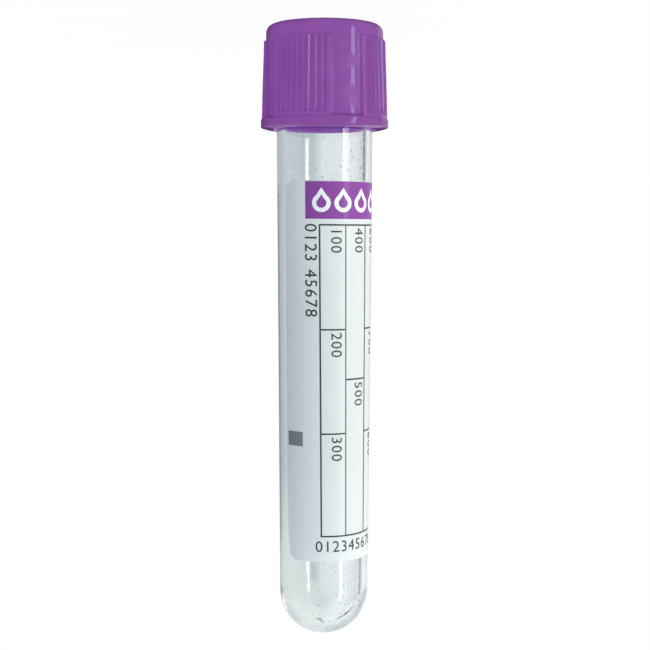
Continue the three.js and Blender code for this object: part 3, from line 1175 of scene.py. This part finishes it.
def add_floor():
    """A pale floor that the camera sees as white, with a faint shadow of the tube on it."""
    bm = bmesh.new()
    half = FLOOR_HALF * MM
    corners = [(-half, -half, 0), (half, -half, 0), (half, half, 0), (-half, half, 0)]
    bm.faces.new([bm.verts.new(corner) for corner in corners])
    floor = finish_mesh("floor", bm)
    material, tree, shader = new_material(
        "floor", Roughness=1.0, Base_Color=FLOOR_PALE, Specular_IOR_Level=0
    )
    ray = node(tree, "ShaderNodeLightPath").outputs
    white = maths(tree, "MULTIPLY", ray["Is Camera Ray"], FLOOR_WHITE)
    show(tree, mixed_shaders(tree, white, shader, node(tree, "ShaderNodeEmission")))
    floor.data.materials.append(material)
    floor.visible_diffuse = False
    floor.visible_glossy = False
    floor.visible_transmission = False


def across(tree, x, stops):
    """Colours along X of the direction, which runs from -1 to 1."""
    ramp = node(tree, "ShaderNodeValToRGB")
    elements = ramp.color_ramp.elements
    places = [(x_stop + 1) / 2 for x_stop, _ in stops]
    elements[0].position = places[0]
    elements[1].position = places[-1]
    for place in places[1:-1]:
        elements.new(place)
    for element, (_, colour) in zip(elements, stops):
        element.color = (*colour, 1)
    put(tree, scaled(tree, x, -1, 1), ramp.inputs["Fac"])
    return ramp.outputs["Color"]


def room_strength(tree, glossy, y, z):
    """The room's brightness. What is mirrored is darker and fades behind the tube, but for a bright
    backdrop that begins some way over the horizon."""
    kept = (1 - GLOSSY_BEHIND) * GLOSSY_LIGHT
    left = GLOSSY_BEHIND * GLOSSY_LIGHT - ROOM_LIGHT
    less = maths(tree, "MULTIPLY_ADD", scaled(tree, y, *MIRROR_FULL_Y), kept, left)
    behind = maths(tree, "MULTIPLY", scaled(tree, y, *BACKDROP_Y), scaled(tree, z, *BACKDROP_Z))
    with_backdrop = maths(tree, "MULTIPLY_ADD", behind, BACKDROP_MIRRORED, less)
    return maths(tree, "MULTIPLY_ADD", glossy, with_backdrop, ROOM_LIGHT)


def through_colour(tree, x, z):
    """What is seen through the tube: the room across, but for one colour high on the +X side."""
    beside = maths(tree, "MULTIPLY_ADD", scaled(tree, z, *HIGH_LEAN_Z), HIGH_LEAN, x)
    high = maths(tree, "MULTIPLY", scaled(tree, beside, *HIGH_X), scaled(tree, z, *HIGH_Z))
    return mixed(tree, high, across(tree, x, THROUGH_ACROSS), THROUGH_HIGH)


def through_strength(tree, y, z):
    """Its brightness: less towards the front, and more for rays that rise or fall steeply."""
    gain = 1 - THROUGH_FRONT
    ahead = maths(tree, "MULTIPLY_ADD", scaled(tree, y, *THROUGH_BEHIND_Y), gain, THROUGH_FRONT)
    steep = scaled(tree, maths(tree, "ABSOLUTE", z), *THROUGH_STEEP_Z)
    return maths(tree, "MULTIPLY", ahead, maths(tree, "MULTIPLY_ADD", steep, THROUGH_STEEP, 1))


def add_world():
    """White for the camera. Rays that went through the tube see one room, and all others another
    that is bright at -X and dimmer at +X."""
    world = bpy.data.worlds.new("studio")
    bpy.context.scene.world = world
    world.use_nodes = True
    tree = world.node_tree
    _, x, y, z = position(tree, "Generated")
    ray = node(tree, "ShaderNodeLightPath").outputs
    room = tree.nodes["Background"]
    through = node(tree, "ShaderNodeBackground")
    white = node(tree, "ShaderNodeBackground")
    put(tree, across(tree, x, ROOM_ACROSS), room.inputs["Color"])
    put(tree, room_strength(tree, ray["Is Glossy Ray"], y, z), room.inputs["Strength"])
    put(tree, through_colour(tree, x, z), through.inputs["Color"])
    put(tree, through_strength(tree, y, z), through.inputs["Strength"])
    put(tree, (1, 1, 1), white.inputs["Color"])
    seen = mixed_shaders(tree, ray["Is Transmission Ray"], room, through)
    show(tree, mixed_shaders(tree, ray["Is Camera Ray"], seen, white), "World Output")


LAMP_HEIGHT = 85.0


def add_softbox(name, azimuth, distance, width, height, power, hidden_from, lean=0.0):
    """A rectangular lamp that faces the tube, its middle at LAMP_HEIGHT. Azimuth is counted as the
    angles on the tube are, and lean turns the lamp in its own plane. The camera never sees it."""
    data = bpy.data.lights.new(name, "AREA")
    data.shape = "RECTANGLE"
    data.size = width * MM
    data.size_y = height * MM
    data.energy = power
    lamp = bpy.data.objects.new(name, data)
    bpy.context.scene.collection.objects.link(lamp)
    middle = Vector((0, 0, LAMP_HEIGHT * MM))
    lamp.location = middle + around(distance, azimuth, 0)
    facing = (middle - lamp.location).to_track_quat("-Z", "Y")
    lamp.rotation_euler = (facing @ Quaternion((0, 0, 1), math.radians(lean))).to_euler()
    for rays in ("camera", *hidden_from):
        setattr(lamp, "visible_" + rays, False)
    return lamp


def light_only(lamp, pieces):
    """Keeps a lamp's light to some pieces."""
    receivers = bpy.data.collections.new(lamp.name + "_receivers")
    for piece in pieces:
        receivers.objects.link(piece)
    lamp.light_linking.receiver_collection = receivers


def add_lamps():
    """At the picture's front right two tall lamps, the narrow one for the pieces on the tube alone,
    and a third that is seen only through clear plastic. At its back right a panel that is only
    mirrored, behind the tube a soft lamp, and at the left one that lights the cap alone."""
    add_softbox(
        "window_wide", azimuth=50.2, distance=600, width=82, height=460, power=0.457,
        hidden_from=["transmission"], lean=-20,
    )
    narrow = add_softbox(
        "window_narrow", azimuth=60, distance=600, width=26, height=430, power=0.12,
        hidden_from=["transmission"],
    )
    light_only(narrow, on_tube)
    seen_through = add_softbox(
        "window_seen_through", azimuth=54, distance=600, width=80, height=400, power=0.92,
        hidden_from=["diffuse", "glossy"],
    )
    seen_through.data.color = (1, 0.97, 0.88)
    add_softbox(
        "back_panel", azimuth=148, distance=800, width=600, height=800, power=0.8,
        hidden_from=["diffuse", "transmission"],
    )
    add_softbox(
        "back_light", azimuth=180, distance=800, width=1000, height=800, power=2.4,
        hidden_from=["glossy", "transmission"],
    )
    fill = add_softbox(
        "cap_fill", azimuth=-60, distance=600, width=500, height=500, power=2.4,
        hidden_from=["glossy", "transmission"],
    )
    light_only(fill, [cap])


add_floor()
add_world()
add_lamps()
bpy.context.scene.view_settings.view_transform = "Standard"
# Light goes round in the tube's wall many times before it leaves
bpy.context.scene.cycles.max_bounces = 24
bpy.context.scene.cycles.diffuse_bounces = 8
bpy.context.scene.cycles.glossy_bounces = 16
bpy.context.scene.cycles.transmission_bounces = 16
